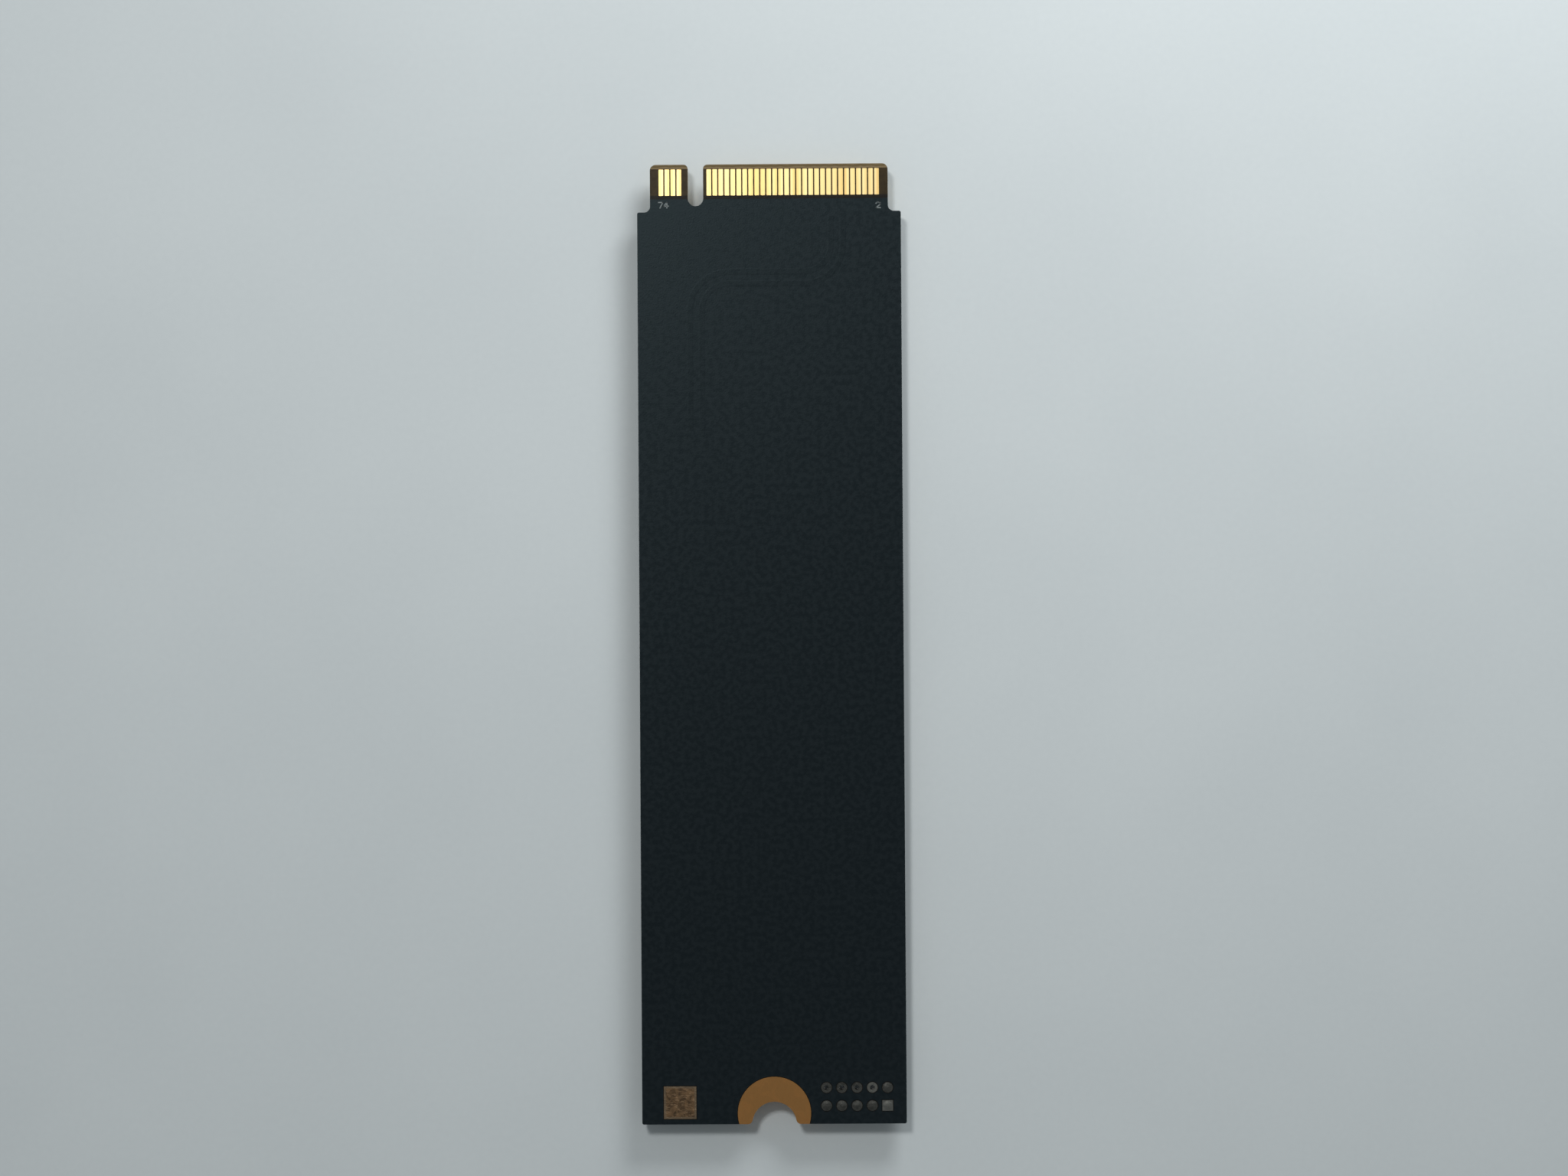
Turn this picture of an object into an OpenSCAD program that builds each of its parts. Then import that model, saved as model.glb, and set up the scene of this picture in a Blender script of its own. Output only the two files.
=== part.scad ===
// Gumstick solid state drive: a bare circuit board, 22 by 80 mm, with a keyed edge connector
// at one end, a plated half hole for its screw at the other, and every part on one face.
// It lies bare face up, resting on its tallest packages. X runs across the board, +Y points
// to the connector and +Z out of the bare face. The origin is on the resting plane, under the
// middle of the board.

/* [Board] */
// Width of the board
board_w = 22; // [22:0.5:30]
// Length of the board, from the screw end to the connector edge
board_l = 80; // [80:1:110]
// Finished thickness, over the copper on both faces
board_t = 0.8; // [0.6:0.05:1.6]
// Radius of the four outer corners
corner_r = 0.15; // [0.05:0.05:0.4]
// Thickness of the outer copper, and of the plating in the holes
copper_t = 0.035; // [0.02:0.005:0.07]
// Thickness of the solder mask
mask_t = 0.04; // [0.02:0.005:0.06]
// Gap that the solder mask leaves round bare copper
mask_gap = 0.06; // [0.02:0.01:0.12]

/* [Edge connector] */
// Distance between neighbouring contacts on one face
contact_pitch = 0.5; // [0.46:0.01:0.5]
// Width of a contact
contact_w = 0.38; // [0.25:0.01:0.4]
// Length of a contact
contact_l = 2.2; // [1.8:0.1:2.4]
// Radius of a contact's corners
contact_r = 0.05; // [0.02:0.01:0.1]
// Gap between the bevel and the contacts
contact_gap = 0.04; // [0:0.01:0.2]
// Bare laminate between the contacts and the solder mask
bare_strip = 0.3; // [0.1:0.05:0.5]
// Bare laminate beside the outermost contacts
tongue_side = 0.485; // [0.4:0.005:0.6]
// Length of the tongue, from its shoulders to the edge
tongue_l = 4; // [3.6:0.1:5]
// Radius of the tongue's corners
tongue_r = 0.5; // [0.2:0.05:0.6]
// Radius between the tongue and its shoulders
fillet_r = 0.5; // [0.2:0.05:0.6]
// Length of the bevel that leads each face into the slot
bevel_l = 0.38; // [0.2:0.02:0.6]
// Angle between the bevel and the face
bevel_angle = 20; // [15:1:25]
// Width of the key notch
key_w = 1.3; // [1:0.05:1.4]
// Depth of the key notch, to the bottom of its round end
key_l = 3.5; // [3:0.1:4]
// Radius of the corners at the mouth of the key notch
key_r = 0.35; // [0.1:0.05:0.35]

/* [Screw notch] */
// Radius of the plated half hole, centred on the end edge
notch_r = 1.85; // [1.5:0.05:2]
// Radius that rounds the half hole into the end edge
notch_flare = 0.4; // [0.15:0.05:0.5]
// Outer radius of the ground ring round the half hole
ground_r = 3.05; // [2.8:0.05:3.3]
// Distance from the end edge to the centre of the ground ring's outer circle
ground_in = 0.88; // [0.5:0.02:1.1]

/* [Test holes] */
// Number of holes in a row
test_cols = 5; // [3:1:5]
// Distance between the holes of a row
test_pitch = 1.27; // [1.1:0.01:1.4]
// Distance between the two rows
test_row_pitch = 1.5; // [1.2:0.05:1.8]
// Distance from the last hole to the long edge
test_side = 1.58; // [1.1:0.02:1.8]
// Distance from the first row to the end edge
test_end = 1.5; // [1.1:0.05:1.8]
// Diameter of a hole's ring
test_ring_d = 0.88; // [0.7:0.02:1]
// Diameter of a plated hole
test_hole_d = 0.4; // [0.3:0.02:0.5]
// Height of the solder that stands over a filled hole
fill_h = 0.05; // [0.02:0.01:0.1]

/* [Code square] */
// Side of the bare copper square that holds the marking
code_s = 2.7; // [2:0.1:4]
// Distance from the code square to the long edge
code_side = 1.81; // [0.5:0.01:2.5]
// Distance from the code square to the end edge
code_end = 0.46; // [0.3:0.01:0.8]

/* [Packages] */
// Width of a flash package, across the board
flash_w = 11.5; // [10:0.5:13]
// Length of a flash package
flash_l = 13.5; // [12:0.5:16]
// Height of a flash package over the board
flash_h = 1.35; // [1.2:0.05:1.5]
// Distance between the balls of a flash package
flash_pitch = 0.8; // [0.65:0.05:1]
// Diameter of the balls of a flash package
flash_ball_d = 0.42; // [0.3:0.02:0.5]
// Distance from a flash package's edge to its ball field
flash_margin = 0.75; // [0.5:0.05:1]
// Width of the buffer memory, across the board
memory_w = 13; // [11:0.5:14]
// Length of the buffer memory
memory_l = 7.5; // [7:0.5:9]
// Height of the buffer memory over the board
memory_h = 1.1; // [0.9:0.05:1.3]
// Distance between the balls of the buffer memory
memory_pitch = 0.8; // [0.65:0.05:0.9]
// Diameter of the balls of the buffer memory
memory_ball_d = 0.4; // [0.3:0.05:0.5]
// Width of the controller, across the board
controller_w = 12; // [11:0.5:13]
// Length of the controller
controller_l = 12; // [11.5:0.25:13]
// Height of the controller over the board
controller_h = 1.35; // [1.2:0.05:1.5]
// Distance between the balls of the controller
controller_pitch = 0.65; // [0.5:0.05:0.8]
// Diameter of the balls of the controller
controller_ball_d = 0.32; // [0.25:0.01:0.4]
// Rim of the controller's substrate that its moulded cap leaves bare
controller_rim = 0.45; // [0.2:0.05:1]
// Distance from the edge of the memory and the controller to their ball fields
ball_margin = 0.5; // [0.4:0.05:0.9]
// Height of the soldered balls
ball_h = 0.25; // [0.15:0.01:0.35]
// Thickness of a package's substrate
substrate_t = 0.26; // [0.15:0.01:0.35]
// Chamfer along the upper edges of a moulded package
mould_chamfer = 0.06; // [0.02:0.01:0.12]
// Diameter of the dimple that marks the first ball
dimple_d = 1; // [0.6:0.1:1.4]
// Depth of that dimple
dimple_t = 0.05; // [0.02:0.01:0.1]
// Distance from the dimple's centre to both edges of its package
dimple_in = 1.4; // [1.2:0.1:2]

/* [Power parts] */
// Side of the square power manager
manager_s = 4; // [3:0.25:4.5]
// Height of the power manager
manager_h = 0.75; // [0.6:0.05:0.9]
// Number of lands along one side of the power manager
manager_lands = 6; // [4:1:6]
// Distance between the lands of the power manager
manager_pitch = 0.5; // [0.4:0.05:0.5]
// Number of power inductors
inductors = 3; // [2:1:3]
// Length of a power inductor, across the board
inductor_l = 2.5; // [2:0.1:3]
// Width of a power inductor
inductor_w = 2; // [1.6:0.1:2.4]
// Height of a power inductor
inductor_h = 1.2; // [0.8:0.05:1.3]
// Thickness of a power inductor's terminals
terminal_t = 0.1; // [0.05:0.01:0.15]
// Width of the load switch's body, between its two rows of leads
switch_w = 1.6; // [1.4:0.05:1.8]
// Length of the load switch's body
switch_l = 2.9; // [2.7:0.05:3.1]
// Height of the load switch
switch_h = 1.1; // [0.9:0.05:1.2]
// Distance between the toes of the load switch's leads
switch_span = 2.8; // [2.6:0.05:3]
// Distance between neighbouring leads
lead_pitch = 0.95; // [0.85:0.05:1]
// Width of a lead
lead_w = 0.4; // [0.3:0.05:0.5]
// Thickness of a lead
lead_t = 0.13; // [0.08:0.01:0.18]
// Length of the surge clamp's body
clamp_l = 1.7; // [1.5:0.05:1.9]
// Width of the surge clamp's body
clamp_w = 1.25; // [1:0.05:1.4]
// Height of the surge clamp
clamp_h = 0.9; // [0.7:0.05:1]
// Distance between the toes of the surge clamp's leads
clamp_span = 2.5; // [2.4:0.05:2.8]

/* [Timing and firmware parts] */
// Length of the crystal, along the board
crystal_l = 2.5; // [2:0.1:2.8]
// Width of the crystal
crystal_w = 2; // [1.6:0.1:2.4]
// Height of the crystal with its lid
crystal_h = 0.6; // [0.45:0.05:0.8]
// Thickness of the crystal's metal lid
lid_t = 0.15; // [0.1:0.01:0.25]
// Length of the firmware memory, along the board
firmware_l = 3; // [2.5:0.1:3.4]
// Width of the firmware memory
firmware_w = 2; // [1.8:0.1:3]
// Height of the firmware memory
firmware_h = 0.6; // [0.5:0.05:0.8]
// Distance between the lands of the firmware memory
firmware_pitch = 0.5; // [0.45:0.05:0.65]

/* [Chip parts] */
// Length of a coupling capacitor
coupling_l = 0.6; // [0.5:0.05:0.8]
// Width of a coupling capacitor
coupling_w = 0.3; // [0.2:0.05:0.35]
// Height of a coupling capacitor
coupling_h = 0.3; // [0.2:0.05:0.35]
// Length of a small capacitor, a resistor or the thermistor
small_l = 1; // [0.8:0.05:1.2]
// Width of a small capacitor, a resistor or the thermistor
small_w = 0.5; // [0.4:0.05:0.7]
// Height of a small capacitor or the thermistor
small_h = 0.5; // [0.4:0.05:0.6]
// Height of a resistor
resistor_h = 0.35; // [0.25:0.05:0.4]
// Length of a bulk capacitor or the input fuse
bulk_l = 1.6; // [1.4:0.05:1.8]
// Width of a bulk capacitor or the input fuse
bulk_w = 0.8; // [0.7:0.05:1]
// Height of a bulk capacitor
bulk_h = 0.8; // [0.6:0.05:1]
// Height of the input fuse
fuse_h = 0.5; // [0.4:0.05:0.7]
// Length of a chip part's metal ends, as a part of its length
end_share = 0.22; // [0.15:0.01:0.3]
// Thickness of the metal of those ends
end_t = 0.03; // [0.02:0.005:0.05]
// Radius of the solder fillets at those ends
solder_r = 0.2; // [0.1:0.02:0.24]

/* [Spacing] */
// Strip beside the connector edge that stays free of parts
connector_clear = 5.2; // [5:0.1:5.6]
// Strip along the long edges that stays free of power parts
edge_clear = 1; // [0.6:0.1:1.2]
// Gap between neighbouring power parts
part_gap = 0.5; // [0.4:0.05:0.6]
// Distance between the small parts beside a package
side_pitch = 1.7; // [1.2:0.1:1.9]
// Distance between the small parts in the row under the controller
row_pitch = 1.4; // [1.2:0.05:1.5]
// Distance from a flash package's ends to the bulk capacitors beside it
bulk_inset = 1.6; // [1.2:0.1:2]
// Distance between the small capacitors of the rows between two packages
gap_pitch = 2.2; // [1.8:0.1:2.6]

/* [Hidden] */
$fn = 48;

// Overlap between shapes that are joined, and reach of a cut past the face it opens
sink = 0.1;
// Facets round a soldered ball, and round the sphere of a solder dome
ball_fn = 32;
dome_fn = 192;

// The connector counts its contacts from 1 to 75 across both faces, even ones on the bare face
last_pin = 75;
first_key_pin = 59;
last_key_pin = 66;
// First contact of each of the four pairs that send, which have coupling capacitors
sending_pins = [5, 17, 29, 41];
function pin_x(pin) = ((last_pin + 1) / 2 - pin) * contact_pitch / 2;
function has_contact(pin) = pin < first_key_pin || pin > last_key_pin;
even_pins = [for (pin = [2:2:last_pin]) if (has_contact(pin)) pin];
odd_pins = [for (pin = [1:2:last_pin]) if (has_contact(pin)) pin];

// Outline
edge_y = board_l / 2;
end_y = -edge_y;
side_x = board_w / 2;
shoulder_y = edge_y - tongue_l;
tongue_w = 2 * pin_x(1) + contact_w + 2 * tongue_side;
key_x = pin_x((first_key_pin + last_key_pin) / 2);
contact_y = edge_y - bevel_l - contact_gap - contact_l / 2;
mask_y = contact_y - contact_l / 2 - bare_strip;

// Heights: the tallest part stands on the resting plane, and the parts hang from seat_z
seat_z = max(flash_h, memory_h, controller_h, inductor_h, switch_h, clamp_h, bulk_h);
laminate_t = board_t - 2 * copper_t;
lower_z = seat_z + mask_t;
upper_z = lower_z + laminate_t;

// Test holes, in rows from the end edge, and the ones that solder fills
test_rows = 2;
function test_place(col, row) =
    [side_x - test_side - col * test_pitch, end_y + test_end + row * test_row_pitch];
filled_holes = concat([for (col = [0:test_cols - 1]) [col, 0]], [[0, 1]]);

// Packages in a file along the board, with equal gaps between them and the power parts
function chip_span(l) = l + 2 * solder_r;
end_clear = max(ground_in + ground_r, test_end + test_row_pitch + test_ring_d / 2) + part_gap;
power_l = chip_span(coupling_l) + chip_span(small_l) + inductors * (inductor_w + part_gap) + part_gap;
row_gap = (board_l - end_clear - connector_clear - power_l - 2 * flash_l - memory_l - controller_l) / 4;
far_flash_y = end_y + end_clear + flash_l / 2;
near_flash_y = far_flash_y + flash_l + row_gap;
memory_y = near_flash_y + flash_l / 2 + row_gap + memory_l / 2;
controller_y = memory_y + memory_l / 2 + row_gap + controller_l / 2;
gap_rows = [
    far_flash_y + (flash_l + row_gap) / 2,
    near_flash_y + (flash_l + row_gap) / 2,
    memory_y + (memory_l + row_gap) / 2
];
function strip_x(package_w) = (side_x + package_w / 2) / 2;

// Power parts, in columns from both long edges inwards
power_y = edge_y - connector_clear - chip_span(coupling_l) - part_gap;
function inductor_y(i) = power_y - inductor_w / 2 - i * (inductor_w + part_gap);
inductor_x = side_x - edge_clear - inductor_l / 2;
output_bulk_x = inductor_x - inductor_l / 2 - part_gap - bulk_w / 2;
manager_x = output_bulk_x - bulk_w / 2 - part_gap - manager_s / 2;
manager_y = (inductor_y(0) + inductor_y(inductors - 1)) / 2;
manager_bulk_x = manager_x - manager_s / 2 - part_gap - bulk_w / 2;
switch_x = -side_x + edge_clear + switch_span / 2;
switch_y = power_y - switch_l / 2;
input_x = switch_x + switch_span / 2 + part_gap + max(chip_span(bulk_l), clamp_span) / 2;
fuse_y = power_y - bulk_w / 2;
clamp_y = fuse_y - bulk_w / 2 - part_gap - clamp_w / 2;
input_bulk_x = input_x + max(chip_span(bulk_l), clamp_span) / 2 + part_gap + bulk_w / 2;
middle_x = (input_bulk_x + manager_bulk_x) / 2;
row_y = edge_y - connector_clear - power_l + chip_span(small_l) / 2;

// Places of the parts that repeat, each as x, y and turn
crystal_place = [-strip_x(controller_w), controller_y + 2 * side_pitch, 0];
firmware_place = [strip_x(controller_w), controller_y + 2 * side_pitch, 0];
thermistor_place = [switch_x, inductor_y(inductors - 1), 0];
coupling_places = [
    for (pin = sending_pins, side = [0, 2])
        [pin_x(pin + side), edge_y - connector_clear - chip_span(coupling_l) / 2, 90]
];
bulk_places = concat(
    [
        for (x = [input_bulk_x, manager_bulk_x, output_bulk_x], i = [0:inductors - 1])
            [x, inductor_y(i), 90]
    ],
    [
        for (y = [far_flash_y, near_flash_y], side = [-1, 1], up = [-1, 1])
            [side * strip_x(flash_w), y + up * (flash_l / 2 - bulk_inset), 90]
    ]
);
small_places = concat(
    [
        for (y = [far_flash_y, near_flash_y], side = [-1, 1], step = [-1.5, 0.5])
            [side * strip_x(flash_w), y + step * side_pitch, 0]
    ],
    [
        for (side = [-1, 1], step = [-1, 0, 1])
            [side * strip_x(memory_w), memory_y + step * side_pitch, 0]
    ],
    [
        for (side = [-1, 1], step = [-3, -1])
            [side * strip_x(controller_w), controller_y + step * side_pitch, 0]
    ],
    [for (y = gap_rows, step = [-2:2]) [step * gap_pitch, y, 0]],
    [for (step = [-4:2:4]) [(step - 0.5) * row_pitch, row_y, 90]]
);
resistor_places = concat(
    [
        for (y = [far_flash_y, near_flash_y], side = [-1, 1], step = [-0.5, 1.5])
            [side * strip_x(flash_w), y + step * side_pitch, 0]
    ],
    [
        for (side = [-1, 1], step = [-2, 0])
            [side * strip_x(controller_w), controller_y + step * side_pitch, 0]
    ],
    [for (step = [-4:2:4]) [(step + 0.5) * row_pitch, row_y, 90]],
    [for (i = [0:inductors - 1]) [middle_x, inductor_y(i), 0]]
);

// Colours
gold = [0.93, 0.78, 0.42];
copper = [0.62, 0.38, 0.18];
tin = [0.7, 0.7, 0.68];
mould = [0.13, 0.13, 0.14];
black = [0.12, 0.14, 0.15];
green = [0.1, 0.2, 0.14];
ceramic = [0.62, 0.5, 0.37];
laminate = [0.25, 0.2, 0.12];
iron_powder = [0.32, 0.32, 0.33];
crystal_ceramic = [0.35, 0.32, 0.3];
fuse_ceramic = [0.85, 0.84, 0.78];
thermistor_glaze = [0.16, 0.3, 0.2];

// Shapes in the plane

// Rectangle with round corners, centred on the origin
module rounded(w, l, r) {
    square([w - 2 * r, l], center = true);
    square([w, l - 2 * r], center = true);
    for (x = [-1, 1], y = [-1, 1])
        translate([x * (w / 2 - r), y * (l / 2 - r)]) circle(r);
}

// Fillet between two walls that leave the origin along +X and +Y
module corner_fillet(r) {
    difference() {
        translate([-sink, -sink]) square(r + sink);
        translate([r, r]) circle(r);
    }
}

// Half hole in the end edge, rounded into it; grow is the plating that is still to come. The
// arcs lap a little where they join, so that they cross in clear corners and not in one point.
module screw_notch(grow) {
    arc_lap = 0.001;
    reach = notch_r + notch_flare - arc_lap;
    flare_x = sqrt(reach * reach - notch_flare * notch_flare);
    translate([0, end_y]) {
        circle(notch_r + grow);
        for (side = [-1, 1])
            difference() {
                polygon([[0, -sink], [side * flare_x, -sink], [side * flare_x, notch_flare], [0, 0]]);
                translate([side * flare_x, notch_flare]) circle(notch_flare - grow);
            }
    }
}

// Slot with a round end, cut into the tongue between two groups of contacts
module key_notch() {
    translate([key_x, edge_y]) {
        translate([0, key_w / 2 - key_l]) circle(d = key_w);
        translate([-key_w / 2, key_w / 2 - key_l]) square([key_w, key_l]);
        for (side = [0, 1])
            mirror([side, 0]) translate([key_w / 2, 0]) mirror([0, 1]) corner_fillet(key_r);
    }
}

// Outline of the board before its notches are cut
module blank_outline() {
    translate([0, (shoulder_y + end_y) / 2]) rounded(board_w, shoulder_y - end_y, corner_r);
    translate([0, shoulder_y]) rounded(tongue_w, 2 * tongue_l, tongue_r);
    for (side = [0, 1])
        mirror([side, 0]) translate([tongue_w / 2, shoulder_y]) corner_fillet(fillet_r);
}

module board_outline(grow = 0) {
    difference() {
        blank_outline();
        key_notch();
        screw_notch(grow);
    }
}

// Outer circle of the ground ring
module ground_disc(grow = 0) {
    translate([0, end_y + ground_in]) circle(ground_r + grow);
}

module code_area(grow = 0) {
    centre = [code_side + code_s / 2 - side_x, code_end + code_s / 2 + end_y];
    translate(centre) square(code_s + 2 * grow, center = true);
}

// Ring of one test hole: square at the first hole, round at the others
module test_pad(col, row, grow = 0) {
    size = test_ring_d + 2 * grow;
    translate(test_place(col, row))
        if (col == 0 && row == 0) square(size, center = true);
        else circle(d = size);
}

module test_pads(grow = 0) {
    for (col = [0:test_cols - 1], row = [0:test_rows - 1]) test_pad(col, row, grow);
}

module contact_row(pins) {
    for (pin = pins)
        translate([pin_x(pin), contact_y]) rounded(contact_w, contact_l, contact_r);
}

// Mask over one face, open at the connector, the ground ring and the test holes
module mask_outline() {
    difference() {
        board_outline();
        translate([-board_w / 2, mask_y]) square([board_w, board_l]);
        ground_disc(mask_gap);
        test_pads(mask_gap);
    }
}

// Board and its plating

// Wedge that leaves the bevel on the upper face of a slab whose top is at z = 0
module bevel_wedge() {
    reach = bevel_l + sink;
    drop = reach * tan(bevel_angle);
    translate([-board_w / 2, edge_y, 0]) rotate([90, 0, 90]) linear_extrude(board_w)
        polygon([[-bevel_l, 0], [sink, -drop], [sink, sink], [-bevel_l, sink]]);
}

module board() {
    color(laminate) difference() {
        translate([0, 0, lower_z]) linear_extrude(laminate_t) board_outline(copper_t);
        translate([0, 0, upper_z]) bevel_wedge();
        translate([0, 0, lower_z]) mirror([0, 0, 1]) bevel_wedge();
        for (col = [0:test_cols - 1], row = [0:test_rows - 1])
            translate(concat(test_place(col, row), lower_z - sink))
                cylinder(d = test_hole_d + 2 * copper_t, h = laminate_t + 2 * sink);
    }
}

module bare_side_mask() {
    color(black) translate([0, 0, upper_z]) linear_extrude(mask_t) difference() {
        mask_outline();
        code_area(mask_gap);
    }
}

module component_side_mask() {
    color(black) translate([0, 0, seat_z]) linear_extrude(mask_t) mask_outline();
}

module even_contacts() {
    color(gold) translate([0, 0, upper_z]) linear_extrude(copper_t) contact_row(even_pins);
}

module odd_contacts() {
    color(gold) translate([0, 0, lower_z - copper_t]) linear_extrude(copper_t) contact_row(odd_pins);
}

// Copper on both faces, joined by the plated wall of the half hole
module screw_ground_ring() {
    color(copper) {
        for (z = [lower_z - copper_t, upper_z])
            translate([0, 0, z]) linear_extrude(copper_t) intersection() {
                board_outline();
                ground_disc();
            }
        translate([0, 0, lower_z]) linear_extrude(laminate_t) difference() {
            board_outline();
            board_outline(copper_t);
        }
    }
}

module test_hole_rings() {
    color(tin) for (col = [0:test_cols - 1], row = [0:test_rows - 1])
        difference() {
            union() {
                for (z = [lower_z - copper_t, upper_z])
                    translate([0, 0, z]) linear_extrude(copper_t) test_pad(col, row);
                translate(concat(test_place(col, row), lower_z))
                    cylinder(d = test_hole_d + 2 * copper_t, h = laminate_t);
            }
            translate(concat(test_place(col, row), lower_z - copper_t - sink))
                cylinder(d = test_hole_d, h = board_t + 2 * sink);
        }
}

// Solder that fills a hole and stands over its ring as a low dome
module test_hole_fills() {
    rim = 0.05;
    dome_r = test_ring_d / 2 - rim;
    ball_r = (dome_r * dome_r + fill_h * fill_h) / (2 * fill_h);
    color(tin) for (hole = filled_holes)
        translate(concat(test_place(hole[0], hole[1]), lower_z - copper_t)) {
            cylinder(d = test_hole_d, h = board_t);
            translate([0, 0, board_t]) intersection() {
                cylinder(r = dome_r, h = fill_h);
                translate([0, 0, fill_h - ball_r]) sphere(ball_r, $fn = dome_fn);
            }
        }
}

module code_square() {
    color(copper) translate([0, 0, upper_z]) linear_extrude(copper_t) code_area();
}

// Packages

// Puts its children on the component face, with +Z away from the board
module seated(place) {
    translate([place[0], place[1], seat_z]) mirror([0, 0, 1]) rotate(place[2]) children();
}

// Block on the plane z = 0 with chamfers along its four upper edges
module chamfered(w, l, h, chamfer) {
    intersection() {
        translate([0, l / 2, 0]) rotate([90, 0, 0]) linear_extrude(l) chamfered_side(w, h, chamfer);
        translate([-w / 2, 0, 0]) rotate([90, 0, 90]) linear_extrude(w) chamfered_side(l, h, chamfer);
    }
}

module chamfered_side(w, h, chamfer) {
    top = w / 2 - chamfer;
    polygon([[-w / 2, 0], [w / 2, 0], [w / 2, h - chamfer], [top, h], [-top, h], [-w / 2, h - chamfer]]);
}

module package_substrate(w, l) {
    translate([-w / 2, -l / 2, ball_h]) cube([w, l, substrate_t]);
}

// Moulded cap with the dimple that marks its first ball
module package_cap(w, l, h) {
    foot = ball_h + substrate_t;
    difference() {
        translate([0, 0, foot]) chamfered(w, l, h - foot, mould_chamfer);
        translate([dimple_in - w / 2, l / 2 - dimple_in, h - dimple_t])
            cylinder(d = dimple_d, h = dimple_t + sink);
    }
}

// Ball flattened between its two pads as it was soldered
module soldered_ball(d) {
    waist = d / 2;
    pad = waist * 3 / 4;
    rise = ball_h / 3;
    rotate_extrude($fn = ball_fn)
        polygon([[0, 0], [pad, 0], [waist, rise], [waist, ball_h - rise], [pad, ball_h], [0, ball_h]]);
}

// Balls in one row; the slack keeps a row whose last ball just fits
slack = 0.01;
function ball_count(span, margin, pitch) = floor((span - 2 * margin) / pitch + slack) + 1;

// Ball grid with a free field in its middle, whose half sides are counted in balls
module ball_grid(w, l, margin, pitch, d, free_cols, free_rows) {
    last_col = (ball_count(w, margin, pitch) - 1) / 2;
    last_row = (ball_count(l, margin, pitch) - 1) / 2;
    for (col = [-last_col:last_col], row = [-last_row:last_row])
        if (abs(col) > free_cols || abs(row) > free_rows)
            translate([col * pitch, row * pitch, 0]) soldered_ball(d);
}

controller_place = [0, controller_y, 0];
memory_place = [0, memory_y, 0];
near_flash_place = [0, near_flash_y, 0];
far_flash_place = [0, far_flash_y, 0];

module controller_substrate() {
    color(green) seated(controller_place) package_substrate(controller_w, controller_l);
}

module controller_cap() {
    rims = 2 * controller_rim;
    color(mould) seated(controller_place)
        package_cap(controller_w - rims, controller_l - rims, controller_h);
}

module controller_balls() {
    color(tin) seated(controller_place)
        ball_grid(
            controller_w, controller_l, ball_margin, controller_pitch, controller_ball_d,
            free_cols = 3.5, free_rows = 3.5
        );
}

module buffer_memory_substrate() {
    color(green) seated(memory_place) package_substrate(memory_w, memory_l);
}

module buffer_memory_cap() {
    color(mould) seated(memory_place) package_cap(memory_w, memory_l, memory_h);
}

// The free field of the memory runs right across it
module buffer_memory_balls() {
    color(tin) seated(memory_place)
        ball_grid(
            memory_w, memory_l, ball_margin, memory_pitch, memory_ball_d,
            free_cols = memory_w, free_rows = 1
        );
}

module flash_substrate(place) {
    color(green) seated(place) package_substrate(flash_w, flash_l);
}

module flash_cap(place) {
    color(mould) seated(place) package_cap(flash_w, flash_l, flash_h);
}

module flash_balls(place) {
    color(tin) seated(place)
        ball_grid(
            flash_w, flash_l, flash_margin, flash_pitch, flash_ball_d,
            free_cols = 4, free_rows = 2.5
        );
}

// Leadless and leaded parts

// Lands in two rows along X, flush with the sides of a body that is w wide in Y
module land_rows(count, pitch, w, land_w, land_l, land_t) {
    for (side = [0, 1])
        mirror([0, side]) for (i = [0:count - 1])
            translate([(i - (count - 1) / 2) * pitch - land_w / 2, w / 2 - land_l, 0])
                cube([land_w, land_l, land_t]);
}

manager_place = [manager_x, manager_y, 0];
manager_land_w = 0.24;
manager_land_l = 0.4;
land_t = 0.2;
manager_edge = 0.6;
manager_inner = manager_s - 2 * manager_land_l - manager_edge;

module power_manager_lands() {
    color(tin) seated(manager_place) {
        for (turn = [0, 90]) rotate(turn)
            land_rows(manager_lands, manager_pitch, manager_s, manager_land_w, manager_land_l, land_t);
        translate([-manager_inner / 2, -manager_inner / 2, 0]) cube([manager_inner, manager_inner, land_t]);
    }
}

module power_manager_body() {
    color(mould) seated(manager_place) difference() {
        chamfered(manager_s, manager_s, manager_h, mould_chamfer);
        for (turn = [0, 90]) rotate(turn)
            land_rows(manager_lands, manager_pitch, manager_s, manager_land_w, manager_land_l, land_t);
        translate([-manager_inner / 2, -manager_inner / 2, 0]) cube([manager_inner, manager_inner, land_t]);
        translate([manager_edge - manager_s / 2, manager_s / 2 - manager_edge, manager_h - dimple_t])
            cylinder(d = dimple_d / 2, h = dimple_t + sink);
    }
}

firmware_lands = 4;
firmware_land_w = 0.25;

module firmware_memory_lands() {
    color(tin) seated(firmware_place) rotate(90)
        land_rows(firmware_lands, firmware_pitch, firmware_w, firmware_land_w, manager_land_l, land_t);
}

module firmware_memory_body() {
    color(mould) seated(firmware_place) rotate(90) difference() {
        chamfered(firmware_l, firmware_w, firmware_h, mould_chamfer);
        land_rows(firmware_lands, firmware_pitch, firmware_w, firmware_land_w, manager_land_l, land_t);
        translate([manager_edge - firmware_l / 2, firmware_w / 2 - manager_edge, firmware_h - dimple_t])
            cylinder(d = dimple_d / 2, h = dimple_t + sink);
    }
}

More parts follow.
